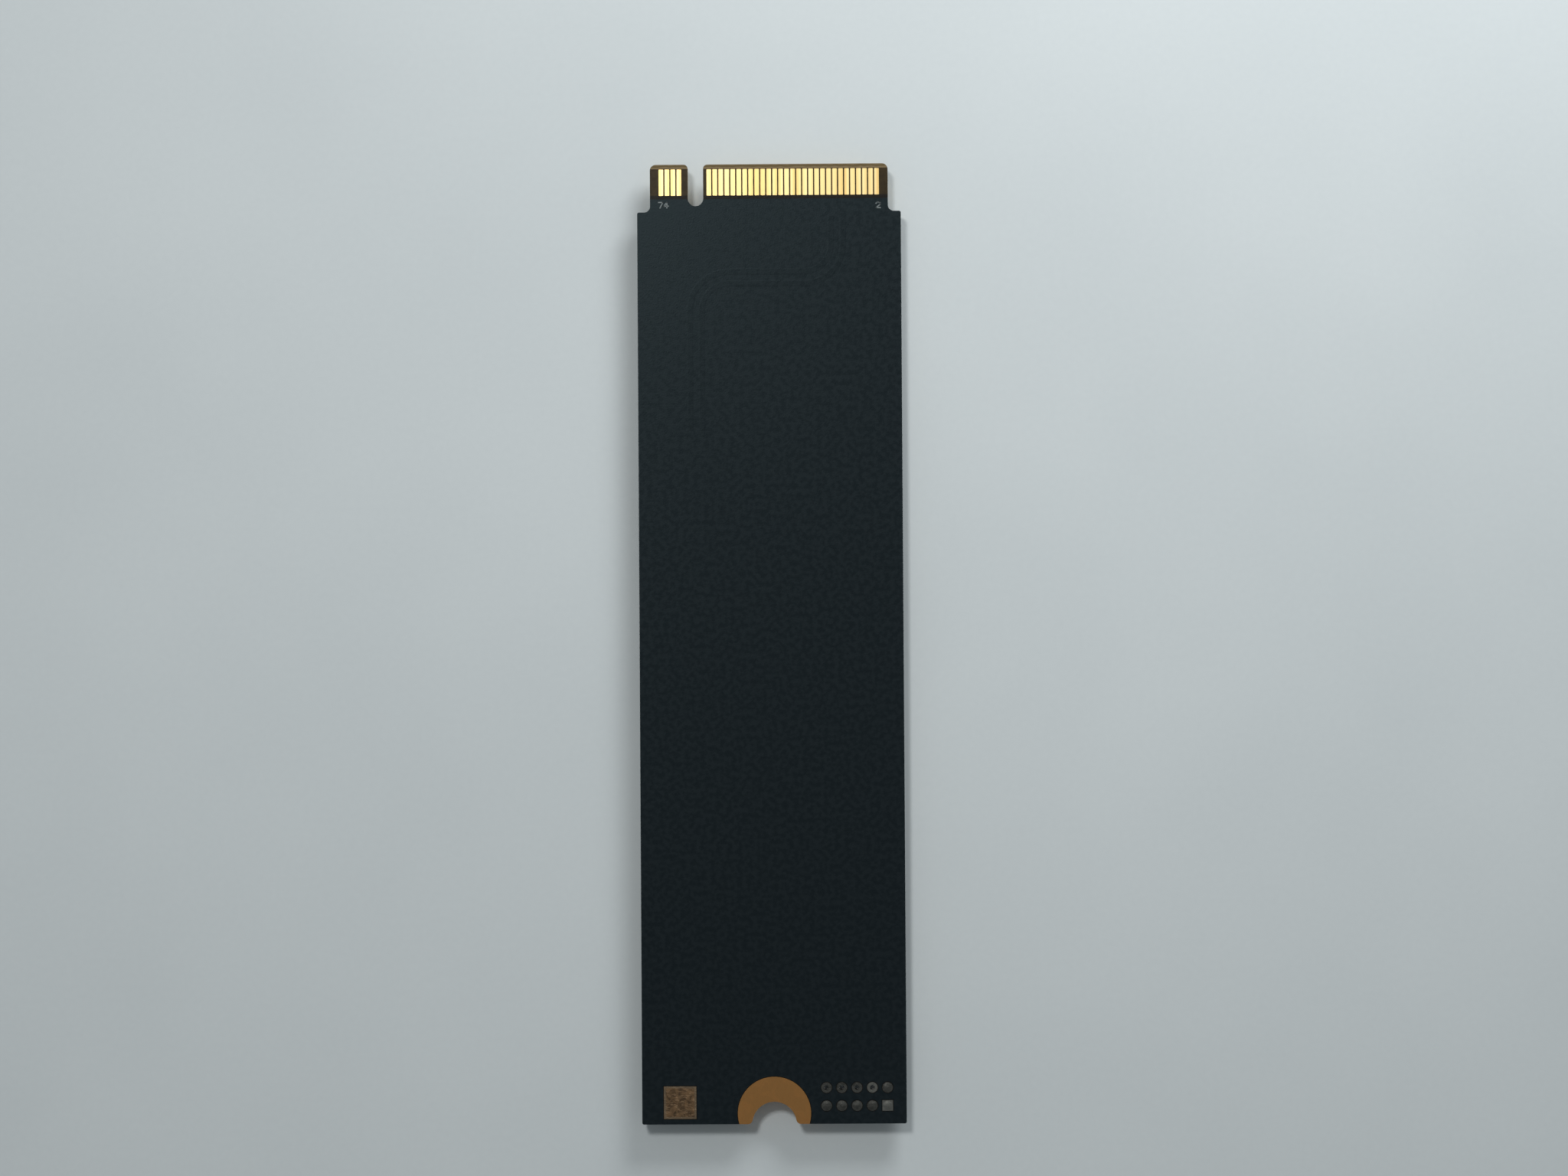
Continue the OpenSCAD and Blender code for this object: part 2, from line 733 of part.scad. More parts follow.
// Lead that leaves the side of a body at x = body_x, steps down and ends in a flat foot
module gull_lead(body_x, toe_x, exit_z) {
    step = (toe_x - body_x) / 4;
    rise = lead_t / 2;
    translate([0, lead_w / 2, 0]) rotate([90, 0, 0]) linear_extrude(lead_w) polygon([
        [body_x, exit_z], [body_x + step, exit_z], [body_x + 2 * step - rise, 0], [toe_x, 0],
        [toe_x, lead_t], [body_x + 2 * step + rise, lead_t],
        [body_x + step + 2 * rise, exit_z + lead_t], [body_x, exit_z + lead_t]
    ]);
}

switch_place = [switch_x, switch_y, 0];
body_lift = 0.08;

module load_switch_leads() {
    color(tin) seated(switch_place) for (side = [0, 1], i = [-1:1])
        mirror([side, 0]) translate([0, i * lead_pitch, 0])
            gull_lead(switch_w / 2, switch_span / 2, switch_h / 2 - lead_t);
}

module load_switch_body() {
    color(mould) seated(switch_place) difference() {
        translate([0, 0, body_lift]) chamfered(switch_w, switch_l, switch_h - body_lift, 2 * mould_chamfer);
        translate([manager_edge - switch_w / 2, switch_l / 2 - manager_edge, switch_h - dimple_t])
            cylinder(d = dimple_d / 2, h = dimple_t + sink);
    }
}

clamp_place = [input_x, clamp_y, 0];

module surge_clamp_leads() {
    color(tin) seated(clamp_place) for (side = [0, 1])
        mirror([side, 0]) gull_lead(clamp_l / 2, clamp_span / 2, clamp_h / 2 - lead_t);
}

// The band marks one end of the clamp
module surge_clamp_body() {
    band = 0.25;
    color(mould) seated(clamp_place) difference() {
        translate([0, 0, body_lift]) chamfered(clamp_l, clamp_w, clamp_h - body_lift, 2 * mould_chamfer);
        translate([clamp_l / 2 - 2 * band, -clamp_w / 2, clamp_h - dimple_t])
            cube([band, clamp_w, dimple_t + sink]);
    }
}

inductor_places = [for (i = [0:inductors - 1]) [inductor_x, inductor_y(i), 0]];
inductor_chamfer = 0.12;

module power_inductor_cores() {
    color(iron_powder) for (place = inductor_places) seated(place)
        translate([0, 0, terminal_t])
            chamfered(inductor_l - 2 * terminal_t, inductor_w, inductor_h - terminal_t, inductor_chamfer);
}

// Angle under each end of the core and part of the way up it
module power_inductor_terminals() {
    foot = inductor_l / 4;
    margin = 0.2;
    tab_h = inductor_h / 2;
    color(tin) for (place = inductor_places, side = [0, 1]) seated(place) mirror([side, 0])
        translate([inductor_l / 2, inductor_w / 2 - margin, 0]) rotate([90, 0, 0])
            linear_extrude(inductor_w - 2 * margin) polygon([
                [0, 0], [0, tab_h], [-terminal_t, tab_h], [-terminal_t, terminal_t],
                [-foot, terminal_t], [-foot, 0]
            ]);
}

// Ceramic base with a cut in each corner, and the metal lid on it
module crystal_base() {
    corner_cut = 0.18;
    color(crystal_ceramic) seated(crystal_place) linear_extrude(crystal_h - lid_t) difference() {
        square([crystal_w, crystal_l], center = true);
        for (x = [-1, 1], y = [-1, 1])
            translate([x * crystal_w / 2, y * crystal_l / 2]) circle(corner_cut);
    }
}

module crystal_lid() {
    rim = 0.15;
    color(tin) seated(crystal_place) translate([0, 0, crystal_h - lid_t])
        linear_extrude(lid_t) rounded(crystal_w - 2 * rim, crystal_l - 2 * rim, 2 * rim);
}

// Chip parts: a block between two metal ends, soldered down with a fillet at each end

module chip_body(l, w, h) {
    translate([end_t - l / 2, end_t - w / 2, end_t]) cube([l, w, h] - 2 * end_t * [1, 1, 1]);
}

// Greatest height of a solder fillet, as a part of the height of its chip part
solder_climb = 0.6;

module chip_ends(l, w, h) {
    end_l = l * end_share;
    fillet = min(solder_r, h * solder_climb);
    for (side = [0, 1]) mirror([side, 0]) {
        difference() {
            translate([l / 2 - end_l, -w / 2, 0]) cube([end_l, w, h]);
            chip_body(l, w, h);
        }
        translate([l / 2, w / 2, 0]) rotate([90, 0, 0]) linear_extrude(w) difference() {
            square(fillet);
            translate([fillet, fillet]) circle(fillet);
        }
    }
}

module coupling_capacitor_bodies() {
    color(ceramic) for (place = coupling_places) seated(place) chip_body(coupling_l, coupling_w, coupling_h);
}

module coupling_capacitor_ends() {
    color(tin) for (place = coupling_places) seated(place) chip_ends(coupling_l, coupling_w, coupling_h);
}

module bulk_capacitor_bodies() {
    color(ceramic) for (place = bulk_places) seated(place) chip_body(bulk_l, bulk_w, bulk_h);
}

module bulk_capacitor_ends() {
    color(tin) for (place = bulk_places) seated(place) chip_ends(bulk_l, bulk_w, bulk_h);
}

module small_capacitor_bodies() {
    color(ceramic) for (place = small_places) seated(place) chip_body(small_l, small_w, small_h);
}

module small_capacitor_ends() {
    color(tin) for (place = small_places) seated(place) chip_ends(small_l, small_w, small_h);
}

module resistor_bodies() {
    color(mould) for (place = resistor_places) seated(place) chip_body(small_l, small_w, resistor_h);
}

module resistor_ends() {
    color(tin) for (place = resistor_places) seated(place) chip_ends(small_l, small_w, resistor_h);
}

module thermistor_body() {
    color(thermistor_glaze) seated(thermistor_place) chip_body(small_l, small_w, small_h);
}

module thermistor_ends() {
    color(tin) seated(thermistor_place) chip_ends(small_l, small_w, small_h);
}

fuse_place = [input_x, fuse_y, 0];

module input_fuse_body() {
    color(fuse_ceramic) seated(fuse_place) chip_body(bulk_l, bulk_w, fuse_h);
}

module input_fuse_ends() {
    color(tin) seated(fuse_place) chip_ends(bulk_l, bulk_w, fuse_h);
}

board();
bare_side_mask();
component_side_mask();
even_contacts();
odd_contacts();
screw_ground_ring();
test_hole_rings();
test_hole_fills();
code_square();
controller_substrate();
controller_cap();
controller_balls();
buffer_memory_substrate();
buffer_memory_cap();
buffer_memory_balls();
flash_substrate(near_flash_place);  // near_flash_substrate
flash_cap(near_flash_place);  // near_flash_cap
flash_balls(near_flash_place);  // near_flash_balls
flash_substrate(far_flash_place);  // far_flash_substrate
flash_cap(far_flash_place);  // far_flash_cap
flash_balls(far_flash_place);  // far_flash_balls
power_manager_body();
power_manager_lands();
power_inductor_cores();
power_inductor_terminals();
load_switch_body();
load_switch_leads();
surge_clamp_body();
surge_clamp_leads();
input_fuse_body();
input_fuse_ends();
crystal_base();
crystal_lid();
firmware_memory_body();
firmware_memory_lands();
coupling_capacitor_bodies();
coupling_capacitor_ends();
bulk_capacitor_bodies();
bulk_capacitor_ends();
small_capacitor_bodies();
small_capacitor_ends();
resistor_bodies();
resistor_ends();
thermistor_body();
thermistor_ends();
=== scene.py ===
# %% [markdown]
# # A bare solid state drive, lying face up
#
# The object is a circuit board of 22 by 80 mm. Its bare face looks up: matte black solder mask,
# gold contacts at one end and a copper half ring for the screw at the other. Every chip sits on
# the face below, so the board stands off the table on its tallest packages.
#
# Every solid shape comes from the CAD model, which is loaded here as a fixed frame. This script
# gives each solid its finish, prints the small marks on the mask, and lights the whole.

# %% Load the drive
from math import radians, tau

import bpy
import numpy as np
from mathutils import Matrix, Vector


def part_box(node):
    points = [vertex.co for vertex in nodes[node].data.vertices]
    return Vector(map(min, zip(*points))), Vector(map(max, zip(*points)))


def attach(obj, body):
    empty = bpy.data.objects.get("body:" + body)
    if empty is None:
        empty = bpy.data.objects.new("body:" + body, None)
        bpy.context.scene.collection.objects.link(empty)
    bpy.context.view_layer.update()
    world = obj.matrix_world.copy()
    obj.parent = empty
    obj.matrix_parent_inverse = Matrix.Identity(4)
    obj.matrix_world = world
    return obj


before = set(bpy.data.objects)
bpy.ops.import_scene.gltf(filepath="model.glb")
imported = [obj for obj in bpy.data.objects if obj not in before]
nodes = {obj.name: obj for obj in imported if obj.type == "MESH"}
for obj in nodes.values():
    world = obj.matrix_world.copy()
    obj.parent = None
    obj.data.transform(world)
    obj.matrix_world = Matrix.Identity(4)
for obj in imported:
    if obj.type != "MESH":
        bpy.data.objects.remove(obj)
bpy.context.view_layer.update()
MM = 0.001


def in_mm(vector, digits=2):
    """A vector in metres as a list of millimetres, for printing."""
    return [round(value / MM, digits) for value in vector]


# %% [markdown]
# ## The camera
#
# The picture looks straight down through a long lens. A camera can be found by eye, but here the
# board gives an exact answer: its corners, its outermost contacts and its half hole have known
# places in millimetres, so a pinhole camera was fitted to where they lie in the picture. The
# result is a place, three small turns and one focal length.

# %% Place the camera
camera_place = Vector((3.706, 0.477, 300)) * MM
camera_turns = {"X": 0.789, "Y": 0.508, "Z": -0.367}
focal_length = 82.07

turn = Matrix.Identity(3)
for axis, degrees in camera_turns.items():
    turn = turn @ Matrix.Rotation(radians(degrees), 3, axis)
camera = bpy.data.objects.new("camera", bpy.data.cameras.new("camera"))
camera.data.sensor_width = 36
camera.data.lens = focal_length
camera.data.clip_start = 10 * MM
camera.matrix_world = Matrix.Translation(camera_place) @ turn.to_4x4()
bpy.context.scene.collection.objects.link(camera)
bpy.context.scene.camera = camera
bpy.context.scene.view_settings.view_transform = "Standard"
print("camera", in_mm(camera_place), "mm, lens", focal_length, "mm")

# %% [markdown]
# ## Writing node trees in few lines
#
# A finish is a tree of shader nodes. Adding each node, its settings and its links by hand takes
# many lines, so put does it in one call: a plain value fills a socket, and a socket of another
# node is linked to it. The other helpers name the few things that every tree here is made of.

# %% Helpers for node trees
def put(tree, kind, inputs=None, **settings):
    """Adds one shader node. inputs maps a socket's name or number to a value or to a socket."""
    node = tree.nodes.new("ShaderNode" + kind)
    for name, value in settings.items():
        setattr(node, name, value)
    for name, value in (inputs or {}).items():
        if isinstance(value, bpy.types.NodeSocket):
            tree.links.new(value, node.inputs[name])
        else:
            node.inputs[name].default_value = value
    return node


def maths(tree, operation, *values, clamp=False):
    """One step of arithmetic on numbers; gives the socket with its result."""
    inputs = dict(enumerate(values))
    return put(tree, "Math", inputs, operation=operation, use_clamp=clamp).outputs[0]


def measure(tree, operation, *vectors):
    """One number from vectors, such as a length or a distance."""
    inputs = dict(enumerate(vectors))
    return put(tree, "VectorMath", inputs, operation=operation).outputs["Value"]


def ramp(tree, value, start, end, low=0.0, high=1.0):
    """Smooth step: low below start, high above end."""
    sockets = {"Value": value, "From Min": start, "From Max": end, "To Min": low, "To Max": high}
    return put(tree, "MapRange", sockets, interpolation_type="SMOOTHSTEP").outputs[0]


def level(tree, mask, low, high):
    """Number that runs from low, where the mask is 0, to high, where it is 1."""
    return ramp(tree, mask, 0.0, 1.0, low, high)


def between(tree, mask, low, high):
    """Colour that runs from low, where the mask is 0, to high, where it is 1."""
    return put(tree, "Mix", {0: mask, 6: low, 7: high}, data_type="RGBA").outputs[2]


def rgb(red, green, blue):
    """Colour as a shader wants it, with its opacity."""
    return (red, green, blue, 1.0)


print("helpers: put, maths, measure, ramp, level, between, rgb")

# %% [markdown]
# ### Places and noise
#
# Every pattern here reads Object coordinates, in metres, so it keeps its true size on the
# largest and on the smallest part. A pattern's scale is then a number of waves per metre.

# %% Helpers for patterns
def object_place(tree):
    """Where a point lies on its piece, as a vector in metres."""
    return put(tree, "TexCoord").outputs["Object"]


def split(tree, vector):
    """The three numbers of a vector or of a colour."""
    return put(tree, "SeparateXYZ", {0: vector}).outputs


def noise(tree, vector, per_metre, **sockets):
    """Cloudy pattern between 0 and 1, with so many waves per metre."""
    sockets = {"Vector": vector, "Scale": per_metre, **sockets}
    return put(tree, "TexNoise", sockets).outputs[0]


print("helpers: object_place, split, noise")

# %% [markdown]
# ## The table
#
# The drive lies on a pale, slightly cool surface. A flat grid is enough for it. Towards its rim
# it fades out, so that from a low angle there is no horizon line, and it is drawn on its upper
# side only, so that the component face can be looked at from below.

# %% Make the table
def grid_object(name, points):
    """Object from an array of rows x columns x 3: a vertex at each point, a quad between four."""
    rows, columns = points.shape[:2]
    index = np.arange(rows * columns).reshape(rows, columns)
    corners = [index[:-1, :-1], index[:-1, 1:], index[1:, 1:], index[1:, :-1]]
    quads = np.stack(corners, axis=-1).reshape(-1, 4)
    mesh = bpy.data.meshes.new(name)
    mesh.from_pydata(points.reshape(-1, 3).tolist(), [], quads.tolist())
    made = bpy.data.objects.new(name, mesh)
    bpy.context.scene.collection.objects.link(made)
    return made


table_reach, table_lines = 1.2, 13
steps = np.linspace(-table_reach, table_reach, table_lines)
across, along = np.meshgrid(steps, steps)
table = grid_object("table", np.stack([across, along, np.zeros_like(across)], axis=-1))
print("table", 2 * table_reach, "m square,", len(table.data.polygons), "quads")

# %% Finish the table
table_finish = bpy.data.materials.new("table finish")
table_finish.use_nodes = True
tree = table_finish.node_tree
tree.nodes.clear()
place = object_place(tree)
clouds = maths(tree, "MULTIPLY", noise(tree, place, 45.0, Detail=3.0), 0.7)
specks = maths(tree, "MULTIPLY", noise(tree, place, 1800.0, Detail=2.0), 0.3)
tone = maths(tree, "ADD", clouds, specks)
colour = between(tree, tone, rgb(0.66, 0.71, 0.725), rgb(0.76, 0.81, 0.82))
sockets = {"Base Color": colour, "Roughness": 0.85, "Specular IOR Level": 0.2}
matte = put(tree, "BsdfPrincipled", sockets)

fade_start, fade_end = 0.09, 0.15
faded = ramp(tree, measure(tree, "LENGTH", place), fade_start, fade_end)
from_below = put(tree, "NewGeometry").outputs["Backfacing"]
gone = maths(tree, "MAXIMUM", faded, from_below)
clear = put(tree, "BsdfTransparent")
mixed = put(tree, "MixShader", {0: gone, 1: matte.outputs[0], 2: clear.outputs[0]})
put(tree, "OutputMaterial", {"Surface": mixed.outputs[0]})
table.data.materials.append(table_finish)
print("table finish:", len(tree.nodes), "nodes, fading from", fade_start, "to", fade_end, "m")

# %% [markdown]
# ## Lamps
#
# Shadows tell where the light comes from. The one along the right side is narrow and ends within
# half a millimetre, so a small lamp stands high on the left. The one on the left is wide and soft,
# so a wide lamp stands low on the right. Both stand beyond the connector, because that end is the
# brighter one.
#
# Two more lamps shine up through the table, to show the component face in a look from below.
# Their light counts only where it falls first, so none of it comes back down onto the table.

# %% Place the lamps
def area_lamp(name, place_mm, size_mm, watts, colour=(1.0, 1.0, 1.0)):
    """Lamp with a glowing face of size_mm (wide, high), turned towards the middle of the board."""
    lamp = bpy.data.objects.new(name, bpy.data.lights.new(name, "AREA"))
    lamp.data.shape = "RECTANGLE"
    lamp.data.size, lamp.data.size_y = (side * MM for side in size_mm)
    lamp.data.energy = watts
    lamp.data.color = colour
    lamp.location = Vector(place_mm) * MM
    lamp.rotation_mode = "QUATERNION"
    lamp.rotation_quaternion = (-lamp.location).to_track_quat("-Z", "Y")
    bpy.context.scene.collection.objects.link(lamp)
    return lamp


area_lamp("small lamp on the left", (-77, 134, 342), (56, 56), 0.385, (1.0, 1.0, 0.99))
area_lamp("wide lamp on the right", (74, 165, 100), (105, 66), 0.222, (0.97, 0.99, 1.0))

let_through = bpy.data.collections.new("does not shade the lamps below")
let_through.objects.link(table)
lamps_below = {"right": ((200, -340, -400), 6.0), "left": ((-300, 380, -300), 2.5)}
for side, (place_mm, watts) in lamps_below.items():
    below = area_lamp("lamp below on the " + side, place_mm, (500, 500), watts)
    below.data.cycles.max_bounces = 0
    below.light_linking.blocker_collection = let_through
let_through.collection_objects[0].light_linking.link_state = "EXCLUDE"

# %% [markdown]
# ## The world
#
# An even world fills the shadows. Metal and lacquer mirror what stands over them, so for the
# camera, gloss and glass the world is a backdrop: pale at the horizon and dark overhead. Like
# the table, it is palest on the side where the lamps stand, so the two merge at the rim.

# %% Make the world
fill_strength, overhead_strength = 0.195, 0.18
far_horizon, near_horizon = 0.46, 0.8
pale_until, dark_from = 0.65, 0.95
lamps_side = (0.4, 0.9, 0)

world = bpy.data.worlds.new("studio")
bpy.context.scene.world = world
world.use_nodes = True
tree = world.node_tree
tree.nodes.clear()
path = put(tree, "LightPath").outputs
seen = maths(tree, "ADD", path["Is Camera Ray"], path["Is Glossy Ray"])
seen = maths(tree, "ADD", seen, path["Is Transmission Ray"], clamp=True)
direction = put(tree, "TexCoord").outputs["Generated"]
to_lamps = measure(tree, "DOT_PRODUCT", direction, lamps_side)
horizon = ramp(tree, to_lamps, -1.0, 1.0, far_horizon, near_horizon)
upward = split(tree, direction)[2]
backdrop = ramp(tree, upward, pale_until, dark_from, horizon, overhead_strength)
strength = level(tree, seen, fill_strength, backdrop)
sky = put(tree, "Background", {"Color": rgb(0.9, 0.97, 1.0), "Strength": strength})
put(tree, "OutputWorld", {"Surface": sky.outputs[0]})
print("world: fill", fill_strength, "and backdrop", far_horizon, "to", near_horizon)

# %% [markdown]
# ## Effects that several finishes share
#
# Each effect is a node group with named sockets. It is built once and placed in every finish
# that needs it, with that finish's own values. A group gives out only heights, masks and
# colours, and the shader that uses them stays in the material.

# %% Helpers for effect groups
SOCKETS = {"value": "NodeSocketFloat", "colour": "NodeSocketColor"}


def effect(name, takes, gives):
    """New shader node group. takes maps a socket's name to its first value, gives to its kind."""
    group = bpy.data.node_groups.new(name, "ShaderNodeTree")
    for socket, value in takes.items():
        kind = "colour" if isinstance(value, tuple) else "value"
        made = group.interface.new_socket(socket, in_out="INPUT", socket_type=SOCKETS[kind])
        made.default_value = value
    for socket, kind in gives.items():
        group.interface.new_socket(socket, in_out="OUTPUT", socket_type=SOCKETS[kind])
    return group, group.nodes.new("NodeGroupInput").outputs


def give(group, results):
    """Links the results of an effect to its outputs."""
    out = group.nodes.new("NodeGroupOutput")
    for socket, value in results.items():
        group.links.new(value, out.inputs[socket])


def use(tree, group, **inputs):
    """Places an effect in a tree. An underscore in a name stands for a space in its socket's."""
    sockets = {name.replace("_", " "): value for name, value in inputs.items()}
    return put(tree, "Group", sockets, node_tree=group).outputs


print("helpers: effect, give, use")

# %% [markdown]
# ### Grain
#
# Moulding compound, ceramic and matte solder mask are all full of fine filler that dulls their
# surface. Two noises make it: a fine one for the bumps, and one three times as coarse that
# varies the tone, as neighbouring grains do.

# %% Grain
grain, given = effect("grain", {"Per metre": 9000.0}, {"Height": "value", "Tone": "value"})
place = object_place(grain)
fine = noise(grain, place, given["Per metre"], Detail=2.0)
coarse = noise(grain, place, maths(grain, "DIVIDE", given["Per metre"], 3.0), Detail=1.0)
give(grain, {"Height": fine, "Tone": ramp(grain, coarse, 0.3, 0.7)})
print("grain:", len(grain.nodes), "nodes")

# %% [markdown]
# ### Tarnish
#
# Bare metal never keeps one tone. It darkens in patches, and the dark patches are duller. A
# noise that bends its own coordinates gives patches with torn outlines, and Cover says how much
# of the surface they take.

# %% Tarnish
tarnish, given = effect(
    "tarnish",
    {"Clean": rgb(0.8, 0.8, 0.8), "Dull": rgb(0.3, 0.3, 0.3), "Per metre": 900.0, "Cover": 0.5},
    {"Color": "colour", "Mask": "value"},
)
bent = {"Detail": 5.0, "Roughness": 0.6, "Distortion": 0.8}
patches = noise(tarnish, object_place(tarnish), given["Per metre"], **bent)
outline = maths(tarnish, "SUBTRACT", 1.0, given["Cover"])
softness = 0.16
patch_start = maths(tarnish, "SUBTRACT", outline, softness)
patch_end = maths(tarnish, "ADD", outline, softness)
torn = ramp(tarnish, patches, patch_start, patch_end)
give(tarnish, {"Color": between(tarnish, torn, given["Clean"], given["Dull"]), "Mask": torn})
print("tarnish:", len(tarnish.nodes), "nodes")

# %% [markdown]
# ### Cut sides
#
# A board and a package substrate are pressed from layers of glass cloth and resin, then routed
# or sawn. The faces are smooth, and the cut sides are pale and striped with the layers. The
# surface normal tells them apart: it points straight up or down on a face and anywhere else on a
# cut. The shallowest cuts are the bevels at the connector, where the normal leans by 20 degrees
# and its upright part is 0.94, so what lies above that counts as a face.

# %% Cut sides
cut_sides, given = effect(
    "cut sides", {"Layers per metre": 9000.0}, {"Mask": "value", "Layers": "value"})
coordinates = put(cut_sides, "TexCoord").outputs
upright = maths(cut_sides, "ABSOLUTE", split(cut_sides, coordinates["Normal"])[2])
height = split(cut_sides, coordinates["Object"])[2]
waviness = noise(cut_sides, coordinates["Object"], 1500.0)
layer = maths(cut_sides, "MULTIPLY", height, given["Layers per metre"])
phase = maths(cut_sides, "MULTIPLY", layer, tau)
phase = maths(cut_sides, "ADD", phase, maths(cut_sides, "MULTIPLY", waviness, 5.0))
stripes = ramp(cut_sides, maths(cut_sides, "SINE", phase), -1.0, 1.0)
cut_until, face_from = 0.955, 0.985
cut = ramp(cut_sides, upright, cut_until, face_from, 1.0, 0.0)
give(cut_sides, {"Mask": cut, "Layers": stripes})
print("cut sides:", len(cut_sides.nodes), "nodes")

# %% [markdown]
# ### Tracks under the mask
#
# Copper tracks lie under the solder mask and lift it by a few hundredths of a millimetre. On a
# matte black board that is the only thing that shows them. They run side by side and turn a
# corner together. The distance to the corner's centre, counted only where it is positive in X
# and in Y, draws exactly that: straight rows on two sides and quarter circles between them. A
# sine of that distance makes the separate tracks, and a band of distances bounds the bundle.
# Side and Rise, each 1 or -1, say on which side of its centre the corner lies, and Reach X and
# Reach Y say how far the straight rows go on past that centre.

# %% Tracks under the mask
tracks, given = effect(
    "tracks under the mask",
    {
        "Corner X": 0.0, "Corner Y": 0.0, "Side": -1.0, "Rise": 1.0, "Inner": 2 * MM,
        "Outer": 4 * MM, "Pitch": 0.4 * MM, "Reach X": 6 * MM, "Reach Y": 10 * MM,
    },
    {"Height": "value"},
)
spot = split(tracks, object_place(tracks))
right, up = (
    maths(tracks, "MULTIPLY", maths(tracks, "SUBTRACT", spot[number], given[centre]), given[sign])
    for number, centre, sign in ((0, "Corner X", "Side"), (1, "Corner Y", "Rise"))
)
beyond = {number: maths(tracks, "MAXIMUM", way, 0.0) for number, way in enumerate((right, up))}
distance = measure(tracks, "LENGTH", put(tracks, "CombineXYZ", beyond).outputs[0])
turns = maths(tracks, "MULTIPLY", maths(tracks, "DIVIDE", distance, given["Pitch"]), tau)
gap_until, track_from = -0.3, 0.5
lines = ramp(tracks, maths(tracks, "SINE", turns), gap_until, track_from)

softness = 0.2 * MM
inner_end, outer_end = (maths(tracks, "ADD", given[rim], softness) for rim in ("Inner", "Outer"))
past_inner = ramp(tracks, distance, given["Inner"], inner_end)
before_outer = ramp(tracks, distance, given["Outer"], outer_end, 1.0, 0.0)
band = maths(tracks, "MULTIPLY", past_inner, before_outer)
reach_x = maths(tracks, "GREATER_THAN", maths(tracks, "ADD", right, given["Reach X"]), 0.0)
reach_y = maths(tracks, "GREATER_THAN", maths(tracks, "ADD", up, given["Reach Y"]), 0.0)
reached = maths(tracks, "MULTIPLY", reach_x, reach_y)
give(tracks, {"Height": maths(tracks, "MULTIPLY", maths(tracks, "MULTIPLY", lines, band), reached)})
print("tracks:", len(tracks.nodes), "nodes")

# %% [markdown]
# ### Brushing
#
# Rolled, plated and wiped metal carries fine lines in one direction. Noise that is squeezed
# across the lines and stretched along them gives their height.

# %% Brushing
brushing, given = effect("brushing", {"Per metre": 20000.0, "Stretch": 30.0}, {"Height": "value"})
spot = split(brushing, object_place(brushing))
stretched = maths(brushing, "DIVIDE", spot[1], given["Stretch"])
squeezed = put(brushing, "CombineXYZ", {0: spot[0], 1: stretched, 2: spot[2]}).outputs[0]
give(brushing, {"Height": noise(brushing, squeezed, given["Per metre"], Detail=2.0)})
print("brushing:", len(brushing.nodes), "nodes")

# %% [markdown]
# ## Finishes
#
# Every finish starts from the same shader with its constant values on the shader's own sockets.
# What varies over the surface is linked after that.

# %% Helpers for finishes
def finish(name, **sockets):
    """New material with one Principled shader; gives the material, its tree and the shader."""
    material = bpy.data.materials.new(name)
    material.use_nodes = True
    tree = material.node_tree
    tree.nodes.clear()
    values = {socket.replace("_", " "): value for socket, value in sockets.items()}
    shader = put(tree, "BsdfPrincipled", values)
    put(tree, "OutputMaterial", {"Surface": shader.outputs[0]})
    return material, tree, shader


def vary(tree, shader, **sockets):
    """Links what changes over the surface. Height is a pattern and its depth in mm, for a bump."""
    if "Height" in sockets:
        height, depth_mm = sockets.pop("Height")
        bump = put(tree, "Bump", {"Height": height, "Strength": 1.0, "Distance": depth_mm * MM})
        sockets["Normal"] = bump.outputs[0]
    for socket, value in sockets.items():
        tree.links.new(value, shader.inputs[socket.replace("_", " ")])


def dress(material, *names):
    """Puts a finish on CAD nodes, in place of their plain CAD colour."""
    for name in names:
        mesh = nodes[name].data
        mesh.materials.clear()
        mesh.materials.append(material)
    print(material.name, "on", ", ".join(names))


def ending(*ends):
    """Names of the CAD nodes that end in one of these."""
    return [name for name in nodes if name.endswith(ends)]


print("helpers: finish, vary, dress, ending")

# %% [markdown]
# ### Solder mask
#
# The mask is a thin black lacquer with a matte, slightly blue finish. It is printed over the
# copper, so it shows the tracks below as relief, and its filler gives it grain. Its specular
# level is low and a little blue, because a matte lacquer scatters most of its gloss. Both faces
# get the same lacquer and different tracks.

# %% Solder mask
def lacquer(name, bundles):
    """Black solder mask over bundles of tracks; the highest of the bundles gives the relief."""
    gloss = {"Specular_IOR_Level": 0.16, "Specular_Tint": rgb(0.7, 0.95, 1.0)}
    material, tree, shader = finish(name, **gloss)
    filler = use(tree, grain, Per_metre=7000.0)
    relief = 0.0
    for bundle in bundles:
        relief = maths(tree, "MAXIMUM", relief, use(tree, tracks, **bundle)["Height"])
    lift, shade = (maths(tree, "MULTIPLY", relief, share) for share in (0.4, 0.3))
    height = maths(tree, "ADD", lift, filler["Height"])
    colour = between(
        tree, filler["Tone"], rgb(0.008, 0.0116, 0.0142), rgb(0.0104, 0.0142, 0.017))
    colour = between(tree, shade, colour, rgb(0.005, 0.0075, 0.0095))
    rough = level(tree, filler["Tone"], 0.3, 0.38)
    vary(tree, shader, Base_Color=colour, Roughness=rough, Height=(height, 0.005))
    return material


def bundle_sizes(corner, turn_to, inner, outer, pitch, reach):
    """Sizes of one bundle of tracks, given in millimetres. turn_to holds its Side and Rise."""
    return {
        "Corner_X": corner[0] * MM, "Corner_Y": corner[1] * MM,
        "Side": turn_to[0], "Rise": turn_to[1],
        "Inner": inner * MM, "Outer": outer * MM, "Pitch": pitch * MM,
        "Reach_X": reach[0] * MM, "Reach_Y": reach[1] * MM,
    }


